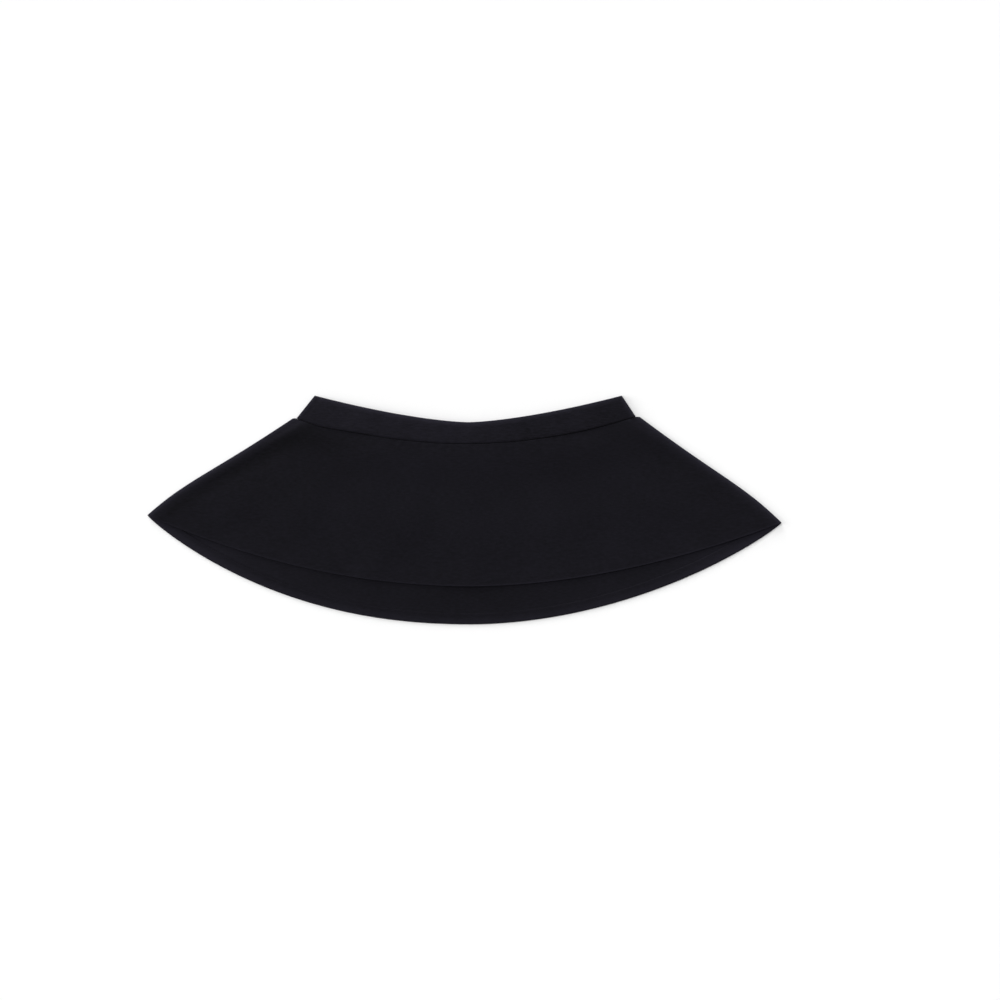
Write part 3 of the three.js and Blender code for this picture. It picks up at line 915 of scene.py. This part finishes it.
cords = np.sin(np.linspace(0, math.pi * ELASTIC_CORDS, ELASTIC_ROWS))[:, None] ** 2
elastic_loop = loop_middle(
    (band_cut, band_cut), elastic_rows, elastic_rows, ELASTIC_TURN_AT,
    lambda s, v: band_level(s, v) - BAND_TURN / 2,
    lambda s, v: back_level(s, v) + BAND_TURN / 2,
    ELASTIC_COLUMNS,
)
elastic_shell = grid_shell(elastic_loop, ELASTIC * mix(ELASTIC_THINNEST, 1, cords), closed=True)
elastic_piece = make_piece(
    "waist_elastic_woven", "waist_elastic", [(elastic, elastic_shell)],
)


# ---- Overlocked seams ----
def overlock(edge, inner, thickness, width=OVERLOCK_WIDTH, closed=False):
    """A thread that laps a cut edge. edge and inner are points along the edge and just inside."""
    if closed:
        edge, inner = (np.concatenate([line, line[:1]]) for line in (edge, inner))
    steps = np.linalg.norm(np.diff(edge, axis=0), axis=1)
    along = np.concatenate([[0], np.cumsum(steps)])
    inward = (inner - edge) / np.linalg.norm(inner - edge, axis=1, keepdims=True)
    up = np.cross(np.gradient(edge, axis=0), inward)
    up *= np.sign(up[:, 2:]) / np.linalg.norm(up, axis=1, keepdims=True)
    half = thickness / 2 + THREAD_CLEARANCE
    lap = np.array([  # share of the stitch's length, reach in from the cut edge, and height
        (0.0, width, half), (0.22, width / 2, half), (0.42, 0.0, half),
        (0.5, -THREAD, 0.0),
        (0.58, 0.0, -half), (0.78, width / 2, -half), (0.97, width, -half),
    ])
    count = int(along[-1] / STITCH)
    place = ((np.arange(count)[:, None] + lap[:, 0]) * STITCH).ravel()
    reach, height = (np.tile(lap[:, k], count)[:, None] for k in (1, 2))
    at, into, over = (
        np.stack([np.interp(place, along, line[:, k]) for k in range(3)], 1)
        for line in (edge, inward, up)
    )
    return tube(at + into * reach + over * height, THREAD)


def thread_piece(node, *laps, plies=()):
    """One object for a CAD seam: its threads, and the pressed plies that they hold."""
    parts = [(thread, lap) for lap in laps] + [(panel_jersey, ply) for ply in plies]
    return make_piece(node + "_thread", node, parts)


def hem_thread(node, middle):
    clear = len(turned_edge(SIDE_ALLOWANCE, TURN)) + HEM_THREAD_CLEAR
    edge, inner = middle[-1, clear:-clear], middle[-2, clear:-clear]
    return thread_piece(node, overlock(edge, inner, HEM_PRESSED[1] * MM))


front_hem = hem_thread("front_hem_overlock", front_middle)
back_hem = hem_thread("back_hem_overlock", back_middle)


def side_thread(node, column, towards):
    """The thread round the cut edges of both allowances of a side seam.

    column is the panels' column at that edge, and towards is the next one inwards.
    """
    rows = front_whole & back_whole
    edge, inner = (
        (front_middle[rows, k] + back_middle[rows, k]) / 2 for k in (column, towards)
    )
    return thread_piece(node, overlock(edge, inner, 2 * SEAM_GAP + JERSEY))


left_side = side_thread("left_side_seam_overlock", 0, 1)
right_side = side_thread("right_side_seam_overlock", -1, -2)


def ply_rows(cut):
    def rows(s):
        down = np.linspace(PLY_START, PLY_START + WAIST_ALLOWANCE, PLY_ROWS)[:, None]
        return down / cut.end_scale(s, 0.0)
    return rows


def waist_ply(step):
    """One pressed layer of the waist seam's allowances, round inside the panels."""
    depth = WAIST_STACK + step * PLY_STEP
    return loop_middle(
        (front_cut, back_cut), ply_rows(front_cut), ply_rows(back_cut), WAIST_TURN_AT,
        lambda s, v: front_level(s, v) - depth,
        lambda s, v: back_level(s, v) + depth,
        WAIST_COLUMNS,
    )


plies = [waist_ply(step) for step in range(-(PLIES // 2), PLIES // 2 + 1)]
cut_edge, inside_edge = plies[PLIES // 2][-1], plies[PLIES // 2][-2]
waist_thread = overlock(cut_edge, inside_edge, (PLIES - 1) * PLY_STEP + PLY, closed=True)
across = np.linspace(-STITCHES_TO, STITCHES_TO, WAIST_COLUMNS)
stitches = [
    tube(np.column_stack([front_cut.at(across, 0.0), level]), THREAD)
    for level in (
        front_level(across, 0.0) - STITCHES_DOWN, back_level(across, 0.0) + STITCHES_DOWN,
    )
]
waist_seam = thread_piece(
    "waist_seam_overlock", waist_thread, *stitches,
    plies=[grid_shell(ply, PLY, closed=True) for ply in plies],
)


def band_seam(node, hand):
    """The thread round the allowances of a band side seam, below the elastic."""
    v = np.linspace(BAND_SEAM_FROM, BAND_SEAM_TO, BAND_SEAM_ROWS)
    scale = band_cut.side_scale(float(hand), v)
    level = np.full((BAND_SEAM_ROWS, 1), BACK_LEVEL + BAND_TURN + SEAM_GAP)
    edge, inner = (
        np.concatenate([band_cut.at(hand * (1 - reach / scale), v), level], 1)
        for reach in (BAND_ALLOWANCE, BAND_ALLOWANCE - MM)
    )
    return thread_piece(node, overlock(edge, inner, 2 * SEAM_GAP + JERSEY, BAND_OVERLOCK_WIDTH))


left_band = band_seam("left_band_seam", -1)
right_band = band_seam("right_band_seam", 1)


# ---- Care label: a folded ribbon caught in the right side seam ----
def care_label():
    at = front_cut.at(1.0, LABEL_PLACE)
    along = front_cut.at(1.0, LABEL_PLACE + STEP) - front_cut.at(1.0, LABEL_PLACE - STEP)
    along /= np.linalg.norm(along)
    inward = np.array((along[1], -along[0]))
    reach = np.linspace(0, LABEL_INWARD - LABEL_FOLD, LABEL_ROWS)
    under = mix(BACK_LEVEL + TURN + SEAM_GAP, JERSEY + RIBBON, ease(reach, 0, LABEL_LIES_FROM))
    wave = LABEL_WAVE * np.sin(reach / LABEL_RIPPLE) * ease(reach, *LABEL_WAVES)
    turn = np.linspace(-math.pi / 2, math.pi / 2, LABEL_FOLD_STEPS)[1:-1]
    gap = 2 * LABEL_FOLD * ease(reach, *LABEL_PARTS) + RIBBON
    fold = gap[-1] / 2
    reaches = np.concatenate([reach, reach[-1] + fold * np.cos(turn), reach[::-1]])
    lower = under + np.abs(wave)
    turned = lower[-1] + fold * (1 + np.sin(turn))
    levels = np.concatenate([lower, turned, (lower + gap)[::-1]])
    across = np.linspace(-LABEL_ALONG / 2, LABEL_ALONG / 2, LABEL_COLUMNS)
    plan = at + inward * (LABEL_START + reaches)[:, None, None] + along * across[:, None]
    curl = LABEL_CURL * np.cos(across / (LABEL_ALONG / 2) * math.pi / 2)
    z = levels[:, None] + curl * ease(reaches, *LABEL_CURLS)[:, None]
    return np.concatenate([plan, z[..., None]], -1)


label_shell = grid_shell(care_label(), RIBBON)
label = make_piece("care_label_ribbon", "care_label", [(label_satin, label_shell)])

# ---- Flat areas of the cut pieces, worked out and not kept ----
back_cut.area(SIDE_ALLOWANCE, HEM_ALLOWANCE)
front_cut.area(SIDE_ALLOWANCE, HEM_ALLOWANCE)
for piece, under, others in (
    (band_back, [], []), (band_front, [band_back], [elastic_piece, left_band, right_band]),
):
    band_cut.area(BAND_ALLOWANCE, LIP)
for piece, under in ((facing_back, [band_back]), (facing_front, [facing_back])):
    band_cut.area(-FACING_INSET, -FACING_DOWN - FACING_UP)

# ---- Floor and light ----
FLOOR_SIZE = 16.0
FLOOR_LEVEL = -0.05 * MM
SUN_DISTANCE = 2.0
SUNS = (  # each with its heading, elevation and spread in degrees, and its strength
    ("left_window", 175, 18, 34, 1.70),
    ("far_window", 112, 14, 24, 2.20),
    ("softbox", 120, 62, 60, 1.78),
)
WORLD_STRENGTH = 0.29


def add_stage():
    bpy.ops.mesh.primitive_plane_add(size=FLOOR_SIZE, location=(0, 0, FLOOR_LEVEL))
    floor = bpy.context.object
    floor.name = "floor"
    finish = Finish("floor_paint")
    grain = finish.noise(40.0)
    floor.data.materials.append(
        finish.close(
            Base_Color=finish.blend(grain, *FLOOR_SHADES),
            Roughness=0.9,
            **{"Specular IOR Level": 0.05},
        )
    )


def add_sun(name, heading, elevation, spread, strength):
    """Even light from one side. heading is where it comes from, anticlockwise from X."""
    data = bpy.data.lights.new(name, "SUN")
    data.angle = math.radians(spread)
    data.energy = strength
    light = bpy.data.objects.new(name, data)
    heading, elevation = math.radians(heading), math.radians(elevation)
    flat = math.cos(elevation)
    place = Vector((math.cos(heading) * flat, math.sin(heading) * flat, math.sin(elevation)))
    light.location = place * SUN_DISTANCE
    light.rotation_mode = "QUATERNION"
    light.rotation_quaternion = place.to_track_quat("Z", "Y")
    bpy.context.collection.objects.link(light)


def add_world(strength):
    world = bpy.data.worlds.new("studio")
    world.use_nodes = True
    surround = world.node_tree.nodes["Background"]
    surround.inputs["Color"].default_value = (1, 1, 1, 1)
    surround.inputs["Strength"].default_value = strength
    bpy.context.scene.world = world


add_stage()
for sun in SUNS:
    add_sun(*sun)
add_world(WORLD_STRENGTH)
bpy.context.scene.view_settings.view_transform = "Standard"
